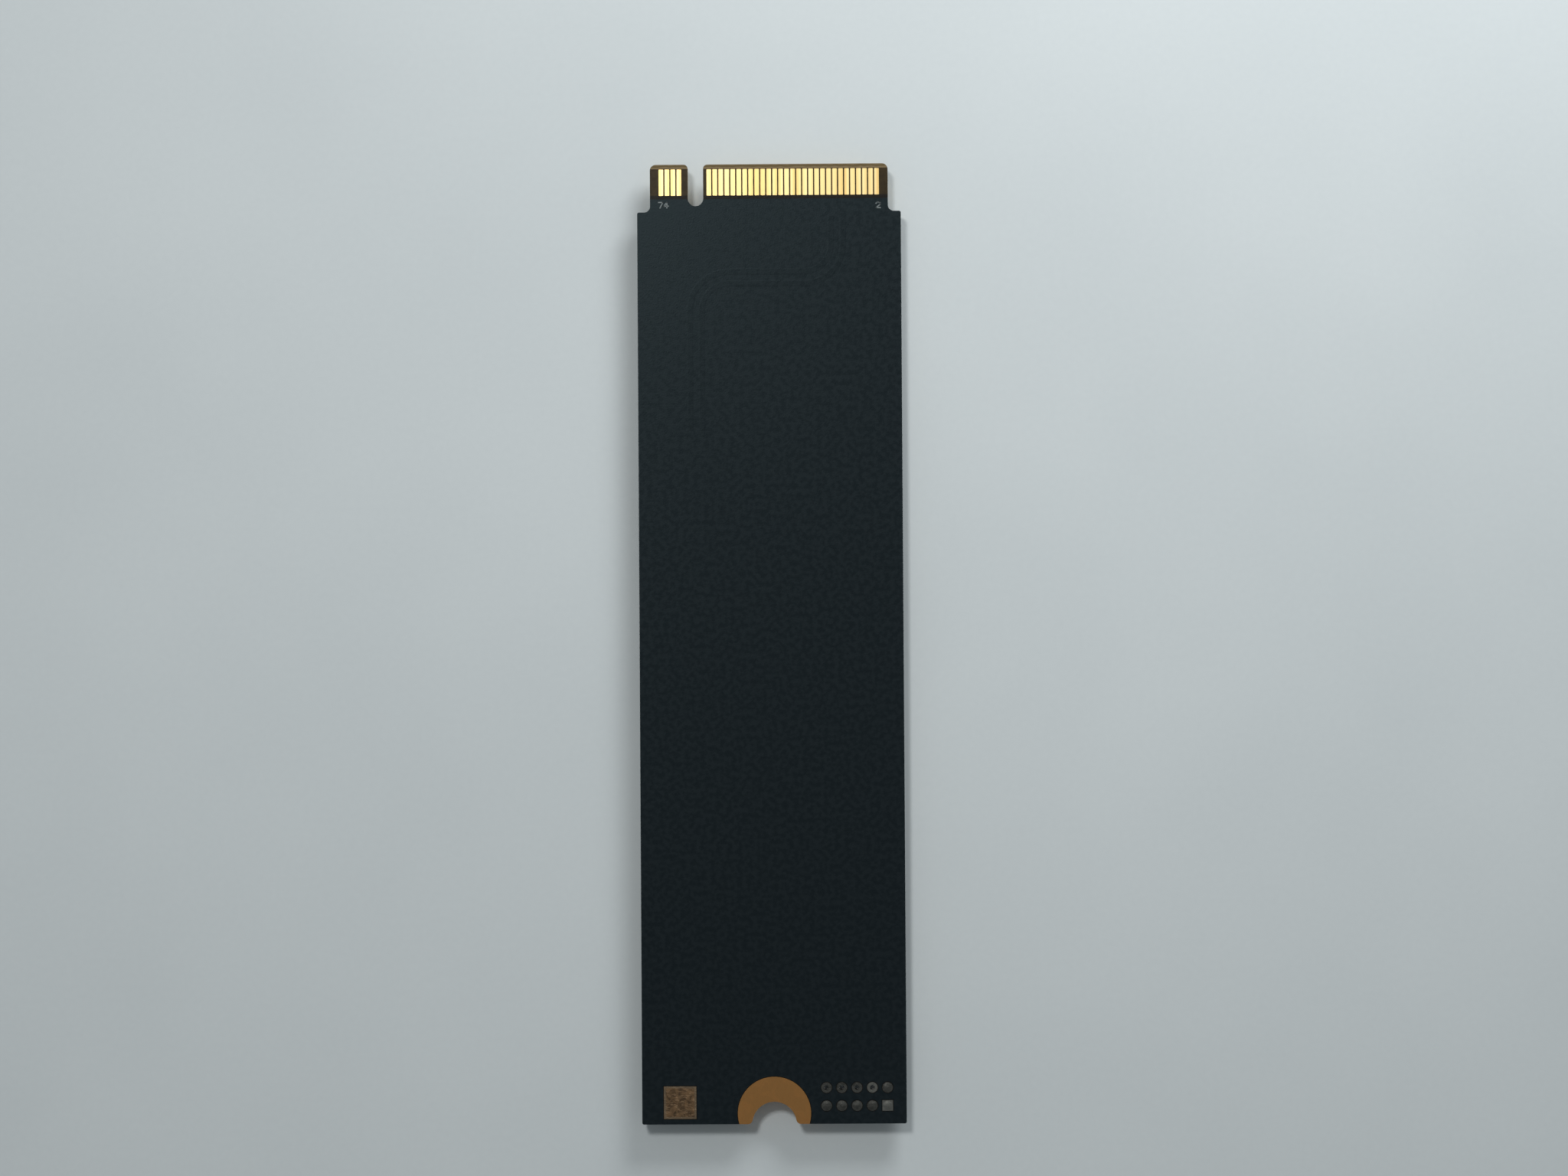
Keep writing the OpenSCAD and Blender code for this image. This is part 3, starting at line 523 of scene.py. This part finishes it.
bare_bundles = [
    bundle_sizes((-3.4, 27.75), (-1.0, 1.0), 1.9, 3.7, 1.0, (6.4, 10.0)),
    bundle_sizes((2.9, 33.25), (1.0, -1.0), 1.8, 3.6, 1.0, (0.0, 2.4)),
]
hidden_bundles = [
    bundle_sizes((-4.0, 26.0), (-1.0, 1.0), 2.0, 5.6, 0.36, (8.0, 12.0)),
    bundle_sizes((5.0, 9.0), (1.0, 1.0), 1.2, 4.6, 0.36, (4.0, 14.0)),
    bundle_sizes((-5.0, -12.0), (-1.0, 1.0), 1.5, 4.8, 0.36, (3.0, 16.0)),
]
dress(lacquer("solder mask of the bare face", bare_bundles), "bare_side_mask")
dress(lacquer("solder mask of the component face", hidden_bundles), "component_side_mask")

# %% [markdown]
# ### Gold contacts
#
# The contacts are plated with hard gold, which is smooth but not a mirror. Under a lamp each one
# shines a little differently, because the plating and the copper below it differ from contact to
# contact. Counting the contacts along X gives each its own number, and white noise turns that
# into its own roughness and tint.

# %% Gold contacts
contact_pitch = 0.5 * MM
gold, tree, shader = finish("hard gold plating", Metallic=1.0)
x_place = split(tree, object_place(tree))[0]
count = maths(tree, "FLOOR", maths(tree, "DIVIDE", x_place, contact_pitch))
own = put(tree, "TexWhiteNoise", {"W": count}, noise_dimensions="1D").outputs[0]
wiped = use(tree, brushing, Per_metre=12000.0, Stretch=25.0)["Height"]
colour = between(tree, own, rgb(0.85, 0.585, 0.225), rgb(0.91, 0.68, 0.33))
height = maths(tree, "ADD", wiped, use(tree, grain, Per_metre=5000.0)["Height"])
rough = level(tree, own, 0.33, 0.4)
vary(tree, shader, Base_Color=colour, Roughness=rough, Height=(height, 0.0005))
dress(gold, "even_contacts", "odd_contacts")

# %% [markdown]
# ### Copper of the screw's half ring
#
# The ring is bare copper under a thin protective film. It has gone dull and brown, with a few
# darker patches and the fine lines of the cleaning brush.

# %% Copper ring
copper, tree, shader = finish("filmed copper", Metallic=1.0)
tones = {"Clean": rgb(0.395, 0.198, 0.068), "Dull": rgb(0.313, 0.152, 0.051)}
film = use(tree, tarnish, **tones, Per_metre=900.0, Cover=0.45)
lines = use(tree, brushing, Per_metre=14000.0, Stretch=18.0)["Height"]
rough = level(tree, film["Mask"], 0.42, 0.52)
vary(tree, shader, Base_Color=film["Color"], Roughness=rough, Height=(lines, 0.006))
dress(copper, "screw_ground_ring")

# %% [markdown]
# ### Etched copper square
#
# This small square of copper has been etched and scuffed until it is brown: uneven blotches,
# scratches across them, and a lighter rim that the etching left alone. The distance from the
# square's centre, taken as the larger of X and Y, finds that rim.

# %% Etched copper square
low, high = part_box("code_square")
centre, half_side = (low + high) / 2, (high.x - low.x) / 2
rim_start, rim_end = half_side - 0.22 * MM, half_side - 0.1 * MM
etched, tree, shader = finish("etched copper", Metallic=0.6)
place = object_place(tree)
spot = split(tree, place)
off_x = maths(tree, "ABSOLUTE", maths(tree, "SUBTRACT", spot[0], centre.x))
off_y = maths(tree, "ABSOLUTE", maths(tree, "SUBTRACT", spot[1], centre.y))
rim = ramp(tree, maths(tree, "MAXIMUM", off_x, off_y), rim_start, rim_end)

tones = {"Clean": rgb(0.19, 0.11, 0.052), "Dull": rgb(0.048, 0.027, 0.011)}
blotches = use(tree, tarnish, **tones, Per_metre=1500.0, Cover=0.5)
streaked = {"Vector": place, "Rotation": (0, 0, 0.6), "Scale": (1, 3.5, 1)}
streaks = put(tree, "Mapping", streaked).outputs[0]
scratched = ramp(tree, noise(tree, streaks, 2400.0, Detail=4.0, Distortion=0.6), 0.54, 0.64)
worn = maths(tree, "MULTIPLY", scratched, 0.6)
colour = between(tree, worn, blotches["Color"], rgb(0.26, 0.165, 0.09))
colour = between(tree, maths(tree, "MULTIPLY", rim, 0.7), colour, rgb(0.155, 0.115, 0.073))
height = maths(tree, "SUBTRACT", scratched, blotches["Mask"])
rough = level(tree, blotches["Mask"], 0.45, 0.65)
vary(tree, shader, Base_Color=colour, Roughness=rough, Height=(height, 0.012))
dress(etched, "code_square")

# %% [markdown]
# ### Solder and tinned metal
#
# Solder cools with a fine crystalline skin, and tinned leads and chip ends look much the same.
# The skin is a Voronoi pattern of small cells, each with its own tone, and a little tarnish. The
# solder of the test holes has aged to a dark grey. A probe has polished two of them, so the
# distance to each of these two places picks out a brighter disc.

# %% Solder
def solder(name, clean, dull, rough, probed=()):
    """Tin with a skin of small cells. A probe has polished it round each of the places given."""
    material, tree, shader = finish(name, Metallic=1.0)
    place = object_place(tree)
    cells = put(tree, "TexVoronoi", {"Vector": place, "Scale": 9000.0}).outputs
    skin = use(tree, tarnish, Clean=clean, Dull=dull, Per_metre=2500.0, Cover=0.45)
    tone = split(tree, cells["Color"])[0]
    colour = between(tree, maths(tree, "MULTIPLY", tone, 0.35), skin["Color"], dull)
    polished = rgb(*(1.5 * value for value in clean[:3]))
    for spot in probed:
        off = measure(tree, "DISTANCE", place, spot)
        colour = between(tree, ramp(tree, off, 0.6 * MM, 0.7 * MM, 1.0, 0.0), colour, polished)
    height = maths(tree, "ADD", cells["Distance"], skin["Mask"])
    roughness = level(tree, tone, rough - 0.06, rough + 0.06)
    vary(tree, shader, Base_Color=colour, Roughness=roughness, Height=(height, 0.006))
    return material


ring_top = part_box("test_hole_rings")[1].z
probed = [(8.15 * MM, -37.0 * MM, ring_top), (9.42 * MM, -38.5 * MM, ring_top)]
grey, dark_grey = rgb(0.086, 0.086, 0.079), rgb(0.039, 0.039, 0.0355)
pads = solder("aged solder of the test holes", grey, dark_grey, 0.5, probed)
dress(pads, "test_hole_rings", "test_hole_fills")
tin = solder("tin", rgb(0.62, 0.62, 0.6), rgb(0.4, 0.4, 0.385), 0.36)
dress(tin, *ending("_balls", "_ends", "_lands", "_leads", "_terminals"))

# %% [markdown]
# ### Board laminate
#
# The laminate shows only at the tongue, at the edges and in the thin gaps round bare copper. Its
# faces are dark brown. Below the end of the contacts they are painted near black. In the strip
# between the contacts and the mask this is painted shade, as under the step of the mask. The bevels
# and routed edges are cut through it and show paler glass in layers.

# %% Board laminate
board_laminate, tree, shader = finish("glass and epoxy laminate", Specular_IOR_Level=0.15)
cut = use(tree, cut_sides, Layers_per_metre=9000.0)
cloth = use(tree, grain, Per_metre=6000.0)
face = between(tree, cloth["Tone"], rgb(0.028, 0.017, 0.005), rgb(0.04, 0.025, 0.008))
y_place = split(tree, object_place(tree))[1]
contact_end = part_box("even_contacts")[0].y
# Painted shade: every face below the contacts' end is painted near black, as in the shadow of the
# mask's step.
shade_below_contacts = (contact_end - 0.04 * MM, contact_end + 0.08 * MM)
face = between(tree, ramp(tree, y_place, *shade_below_contacts, 1.0, 0.0), face, rgb(0.007, 0.005, 0.003))
layered = between(tree, cut["Layers"], rgb(0.114, 0.08, 0.034), rgb(0.188, 0.137, 0.073))
colour = between(tree, cut["Mask"], face, layered)
glass = maths(tree, "MULTIPLY", cut["Mask"], cut["Layers"])
height = maths(tree, "ADD", cloth["Height"], glass)
rough = level(tree, cut["Mask"], 0.4, 0.75)
vary(tree, shader, Base_Color=colour, Roughness=rough, Height=(height, 0.01))
dress(board_laminate, "board")

# %% [markdown]
# ### Packages
#
# A memory or controller package is a green laminate, sawn at its edges, under a cap of black
# moulding compound. The cap has the fine, even grain of a spark-eroded mould. The smaller chips
# are moulded in the same compound.

# %% Moulding compound
compound, tree, shader = finish("black moulding compound", Specular_IOR_Level=0.3)
filler = use(tree, grain, Per_metre=16000.0)
tones = {"Clean": rgb(0.022, 0.022, 0.024), "Dull": rgb(0.017, 0.017, 0.018)}
flow = use(tree, tarnish, **tones, Per_metre=350.0, Cover=0.5)
grains = maths(tree, "MULTIPLY", filler["Tone"], 0.5)
colour = between(tree, grains, flow["Color"], rgb(0.03, 0.03, 0.032))
rough = level(tree, flow["Mask"], 0.52, 0.6)
vary(tree, shader, Base_Color=colour, Roughness=rough, Height=(filler["Height"], 0.01))
small_chips = ("power_manager_body", "load_switch_body", "surge_clamp_body", "firmware_memory_body")
dress(compound, *ending("_cap"), *small_chips)

# %% Package laminate
substrate, tree, shader = finish("package laminate", Specular_IOR_Level=0.4)
cut = use(tree, cut_sides, Layers_per_metre=16000.0)
face = use(tree, grain, Per_metre=8000.0)
lacquered = between(tree, face["Tone"], rgb(0.012, 0.05, 0.028), rgb(0.02, 0.068, 0.038))
sawn = between(tree, cut["Layers"], rgb(0.055, 0.09, 0.045), rgb(0.16, 0.17, 0.095))
colour = between(tree, cut["Mask"], lacquered, sawn)
height = maths(tree, "ADD", face["Height"], cut["Layers"])
rough = level(tree, cut["Mask"], 0.32, 0.7)
vary(tree, shader, Base_Color=colour, Roughness=rough, Height=(height, 0.006))
dress(substrate, *ending("_substrate"))

# %% [markdown]
# ### Small parts
#
# Capacitors, resistors, the fuse, the inductors and the crystal are fired or pressed from
# powder, so one recipe serves them: two close tones, a grain and a gloss of their own. A resistor
# is white ceramic with a dark glaze on its outer face, which the surface normal picks out.

# %% Small parts
def fired(name, dark, light, rough, per_metre=12000.0, glaze=None):
    """Ceramic or pressed powder with a grain; glaze is the colour of a coat on its outer face."""
    material, tree, shader = finish(name, Specular_IOR_Level=0.45)
    powder = use(tree, grain, Per_metre=per_metre)
    spots = use(tree, tarnish, Clean=light, Dull=dark, Per_metre=1800.0, Cover=0.5)
    grains = maths(tree, "MULTIPLY", powder["Tone"], 0.6)
    colour = between(tree, grains, spots["Color"], dark)
    if glaze:
        colour = between(tree, use(tree, cut_sides)["Mask"], glaze, colour)
    roughness = level(tree, powder["Tone"], rough - 0.05, rough + 0.05)
    vary(tree, shader, Base_Color=colour, Roughness=roughness, Height=(powder["Height"], 0.008))
    return material


capacitor = fired("capacitor ceramic", rgb(0.3, 0.2, 0.115), rgb(0.44, 0.32, 0.205), 0.42)
dress(capacitor, *ending("capacitor_bodies"))
white, whiter, black = rgb(0.5, 0.49, 0.46), rgb(0.66, 0.65, 0.62), rgb(0.02, 0.02, 0.023)
dress(fired("glazed resistor", white, whiter, 0.4, glaze=black), "resistor_bodies")
iron = fired("pressed iron powder", rgb(0.075, 0.075, 0.08), rgb(0.13, 0.13, 0.135), 0.6, 9000.0)
dress(iron, "power_inductor_cores")
crystal = fired("crystal ceramic", rgb(0.12, 0.105, 0.09), rgb(0.2, 0.18, 0.16), 0.5)
dress(crystal, "crystal_base")
fuse = fired("fuse ceramic", rgb(0.6, 0.59, 0.5), rgb(0.8, 0.79, 0.72), 0.4)
dress(fuse, "input_fuse_body")
thermistor = fired("thermistor ceramic", rgb(0.03, 0.07, 0.045), rgb(0.06, 0.12, 0.08), 0.35)
dress(thermistor, "thermistor_body")

# %% [markdown]
# ### Crystal lid
#
# The crystal's lid is a thin sheet, plated with nickel. Its rolling lines run along it, and they
# are both its relief and what makes it shine unevenly.

# %% Crystal lid
lid, tree, shader = finish("nickel lid", Metallic=1.0)
lines = use(tree, brushing, Per_metre=18000.0, Stretch=40.0)["Height"]
tones = {"Clean": rgb(0.72, 0.69, 0.62), "Dull": rgb(0.56, 0.53, 0.46)}
film = use(tree, tarnish, **tones, Per_metre=1200.0, Cover=0.4)
rough = ramp(tree, lines, 0.3, 0.7, 0.24, 0.36)
vary(tree, shader, Base_Color=film["Color"], Roughness=rough, Height=(lines, 0.004))
dress(lid, "crystal_lid")

# %% [markdown]
# ## Printed marks
#
# White ink on the mask numbers the end contacts and marks where packages go. The printer draws
# every mark with a pen along straight strokes, so a mark here is a list of strokes in
# millimetres. All strokes become boxes at once: each box is a stroke's two ends, moved half a
# pen's width to both sides and by the ink's thickness upwards. A box also reaches a little way
# into the mask, so that no gap shows under it.

# %% Strokes of ink
PEN = 0.09
INK = 0.012
SUNK = 0.004
ADVANCE = 0.95
DIGITS = {
    "1": [(0.25, 0.75), (0.5, 1.0), (0.5, 0.0)],
    "2": [(0.0, 0.8), (0.2, 1.0), (0.55, 1.0), (0.75, 0.8), (0.75, 0.6), (0.0, 0.0), (0.75, 0.0)],
    "4": [(0.55, 0.0), (0.55, 1.0), (0.0, 0.32), (0.78, 0.32)],
    "5": [(0.7, 1.0), (0.08, 1.0), (0.0, 0.55), (0.5, 0.6), (0.72, 0.38), (0.65, 0.1), (0.4, 0.0),
          (0.0, 0.06)],
    "7": [(0.0, 1.0), (0.75, 1.0), (0.25, 0.0)],
}


def number_strokes(text, centre, height, mirrored=False):
    """Strokes of a number of the given height, centred on a point, as rows of x0, y0, x1, y1."""
    rows = []
    for place, digit in enumerate(text):
        points = np.array(DIGITS[digit]) + (place * ADVANCE, 0)
        rows.append(np.hstack([points[:-1], points[1:]]))
    strokes = np.vstack(rows) * height
    middle = (strokes[:, :2].min(0) + strokes[:, :2].max(0)) / 2
    strokes -= np.tile(middle, 2)
    if mirrored:
        strokes[:, 0::2] *= -1
    return strokes + np.tile(centre, 2)


def ink_marks(name, strokes, bottom, top):
    """Boxes round all strokes: ends lengthened by half a pen, sides half a pen off the stroke."""
    start, end = strokes[:, :2], strokes[:, 2:]
    along = (end - start) / np.linalg.norm(end - start, axis=1, keepdims=True) * PEN / 2
    aside = np.stack([-along[:, 1], along[:, 0]], axis=1)
    outline = np.stack(
        [start - along - aside, end + along - aside, end + along + aside, start - along + aside],
        axis=1)
    heights = np.array([bottom, top])[None, :, None, None]
    corners = np.concatenate([
        np.broadcast_to(outline[:, None], (len(strokes), 2, 4, 2)),
        np.broadcast_to(heights, (len(strokes), 2, 4, 1)),
    ], axis=-1)
    box = [[3, 2, 1, 0], [4, 5, 6, 7], [0, 1, 5, 4], [1, 2, 6, 5], [2, 3, 7, 6], [3, 0, 4, 7]]
    first = 8 * np.arange(len(strokes))[:, None, None]
    quads = (np.array(box)[None] + first).reshape(-1, 4)
    mesh = bpy.data.meshes.new(name)
    mesh.from_pydata((corners.reshape(-1, 3) * MM).tolist(), [], quads.tolist())
    made = bpy.data.objects.new(name, mesh)
    bpy.context.scene.collection.objects.link(made)
    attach(made, "root")
    print(name, len(strokes), "strokes,", len(quads), "faces")
    return made


# %% [markdown]
# The bare face has two numbers only, 74 and 2, beside its end contacts.

# %% Print the bare face
numeral_height = 0.46
bare_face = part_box("bare_side_mask")[1].z / MM
bare_strokes = np.vstack([
    number_strokes("74", (-8.86, 36.6), numeral_height),
    number_strokes("2", (9.12, 36.5), numeral_height),
])
bare_marks = ink_marks("bare_face_numbers", bare_strokes, bare_face - SUNK, bare_face + INK)

# %% [markdown]
# On the component face the numbers 75 and 1 are mirrored in X, because it is read from below. A
# right angle of two strokes stands a little way off each corner of the four large packages.

# %% Print the component face
gap, arm = 0.35, 1.0
signs = np.array([[-1, -1], [-1, 1], [1, -1], [1, 1]])
rows = [
    number_strokes("75", (-9.1, 36.4), numeral_height, mirrored=True),
    number_strokes("1", (9.15, 36.4), numeral_height, mirrored=True),
]
for package in ("far_flash", "near_flash", "buffer_memory", "controller"):
    low, high = (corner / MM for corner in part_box(package + "_substrate"))
    centre, half = (low + high) / 2, (high - low) / 2
    corner = np.array([centre.x, centre.y]) + signs * (half.x + gap, half.y + gap)
    rows.append(np.hstack([corner, corner - signs * (arm, 0)]))
    rows.append(np.hstack([corner, corner - signs * (0, arm)]))
hidden_strokes = np.vstack(rows)
hidden_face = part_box("component_side_mask")[0].z / MM
hidden_marks = ink_marks(
    "component_face_marks", hidden_strokes, hidden_face - INK, hidden_face + SUNK)

# %% [markdown]
# The ink is a dull white lacquer. It covers the black below unevenly, so its tone wanders.

# %% White ink
ink, tree, shader = finish("white ink", Roughness=0.6, Specular_IOR_Level=0.3)
tones = {"Clean": rgb(0.28, 0.31, 0.31), "Dull": rgb(0.15, 0.175, 0.175)}
cover = use(tree, tarnish, **tones, Per_metre=3500.0, Cover=0.5)
height = use(tree, grain, Per_metre=12000.0)["Height"]
vary(tree, shader, Base_Color=cover["Color"], Height=(height, 0.004))
for marks in (bare_marks, hidden_marks):
    marks.data.materials.append(ink)
print("white ink on", bare_marks.name, "and", hidden_marks.name)
